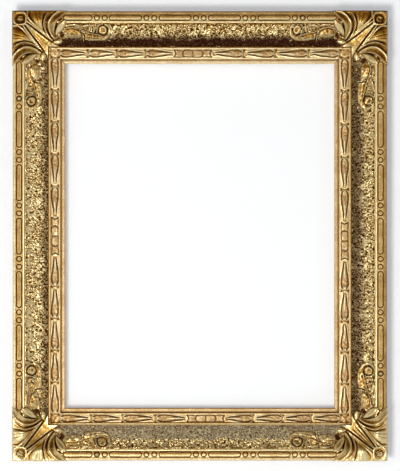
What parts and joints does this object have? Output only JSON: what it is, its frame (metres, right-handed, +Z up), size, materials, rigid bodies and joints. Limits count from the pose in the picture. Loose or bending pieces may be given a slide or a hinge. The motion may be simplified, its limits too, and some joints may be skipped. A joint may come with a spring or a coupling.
{
  "type": "ornate gilded picture frame",
  "caption": "Carved and gilded picture frame with corner ornaments, scrolls, beading and a leaf band, open rabbet, D-ring hangers and turn buttons on the back.",
  "frame": {"origin": "centre of the opening, on the wall plane that the bumpers rest on", "axes": "+X to the right seen from the front, +Y into the wall, +Z up; the front faces -Y"},
  "size_m": [0.759, 0.062, 0.9114],
  "materials": {
    "gilded_wood": "aged leaf gilding over bole",
    "gilded_composition": "aged leaf gilding over bole",
    "pine": "aged, unpainted",
    "key_wood": "stained",
    "plated_steel": "zinc plated",
    "bumper_rubber": "matt"
  },
  "bodies": {
    "frame": {"back_rail_bottom": "pine", "back_rail_top": "pine", "back_stile_left": "pine", "back_stile_right": "pine", "bead_strip_bottom": "gilded_composition", "bead_strip_left": "gilded_composition", "bead_strip_right": "gilded_composition", "bead_strip_top": "gilded_composition", "bumper_lower_left": "bumper_rubber", "bumper_lower_right": "bumper_rubber", "bumper_upper_left": "bumper_rubber", "bumper_upper_right": "bumper_rubber", "corner_ornament_bottom_left": "gilded_composition", "corner_ornament_bottom_right": "gilded_composition", "corner_ornament_top_left": "gilded_composition", "corner_ornament_top_right": "gilded_composition", "cove_moulding_bottom": "gilded_wood", "cove_moulding_left": "gilded_wood", "cove_moulding_right": "gilded_wood", "cove_moulding_top": "gilded_wood", "hanger_screws": "plated_steel", "hanger_strap_left": "plated_steel", "hanger_strap_right": "plated_steel", "lap_screws": "plated_steel", "mitre_keys": "key_wood", "moulding_screws": "plated_steel", "scroll_spray_bottom_left": "gilded_composition", "scroll_spray_bottom_right": "gilded_composition", "scroll_spray_left_lower": "gilded_composition", "scroll_spray_left_upper": "gilded_composition", "scroll_spray_right_lower": "gilded_composition", "scroll_spray_right_upper": "gilded_composition", "scroll_spray_top_left": "gilded_composition", "scroll_spray_top_right": "gilded_composition", "sight_moulding_bottom": "gilded_wood", "sight_moulding_left": "gilded_wood", "sight_moulding_right": "gilded_wood", "sight_moulding_top": "gilded_wood", "turn_button_screws": "plated_steel"},
    "ring_left": {"hanger_ring_left": "plated_steel"},
    "ring_right": {"hanger_ring_right": "plated_steel"},
    "button_bottom_left": {"turn_button_bottom_left": "plated_steel"},
    "button_bottom_right": {"turn_button_bottom_right": "plated_steel"},
    "button_left_lower": {"turn_button_left_lower": "plated_steel"},
    "button_left_upper": {"turn_button_left_upper": "plated_steel"},
    "button_right_lower": {"turn_button_right_lower": "plated_steel"},
    "button_right_upper": {"turn_button_right_upper": "plated_steel"},
    "button_top_left": {"turn_button_top_left": "plated_steel"},
    "button_top_right": {"turn_button_top_right": "plated_steel"}
  },
  "joints": [
    {"name": "ring_left_swing", "type": "hinge", "parent": "frame", "child": "ring_left", "pos_m": [-0.3195, -0.00375, 0.25], "axis": [0, 0, 1], "range_deg": [0, 165]},
    {"name": "ring_right_swing", "type": "hinge", "parent": "frame", "child": "ring_right", "pos_m": [0.3195, -0.00375, 0.25], "axis": [0, 0, -1], "range_deg": [0, 165]},
    {"name": "button_top_left_turn", "type": "hinge", "parent": "frame", "child": "button_top_left", "pos_m": [-0.15, -0.0049, 0.3692], "axis": [0, 1, 0], "range_deg": [0, 90]},
    {"name": "button_top_right_turn", "type": "hinge", "parent": "frame", "child": "button_top_right", "pos_m": [0.15, -0.0049, 0.3692], "axis": [0, 1, 0], "range_deg": [0, 90]},
    {"name": "button_bottom_left_turn", "type": "hinge", "parent": "frame", "child": "button_bottom_left", "pos_m": [-0.15, -0.0049, -0.3692], "axis": [0, 1, 0], "range_deg": [0, 90]},
    {"name": "button_bottom_right_turn", "type": "hinge", "parent": "frame", "child": "button_bottom_right", "pos_m": [0.15, -0.0049, -0.3692], "axis": [0, 1, 0], "range_deg": [0, 90]},
    {"name": "button_left_upper_turn", "type": "hinge", "parent": "frame", "child": "button_left_upper", "pos_m": [-0.293, -0.0049, 0.17], "axis": [0, 1, 0], "range_deg": [0, 90]},
    {"name": "button_left_lower_turn", "type": "hinge", "parent": "frame", "child": "button_left_lower", "pos_m": [-0.293, -0.0049, -0.17], "axis": [0, 1, 0], "range_deg": [0, 90]},
    {"name": "button_right_upper_turn", "type": "hinge", "parent": "frame", "child": "button_right_upper", "pos_m": [0.293, -0.0049, 0.17], "axis": [0, 1, 0], "range_deg": [0, 90]},
    {"name": "button_right_lower_turn", "type": "hinge", "parent": "frame", "child": "button_right_lower", "pos_m": [0.293, -0.0049, -0.17], "axis": [0, 1, 0], "range_deg": [0, 90]}
  ]
}
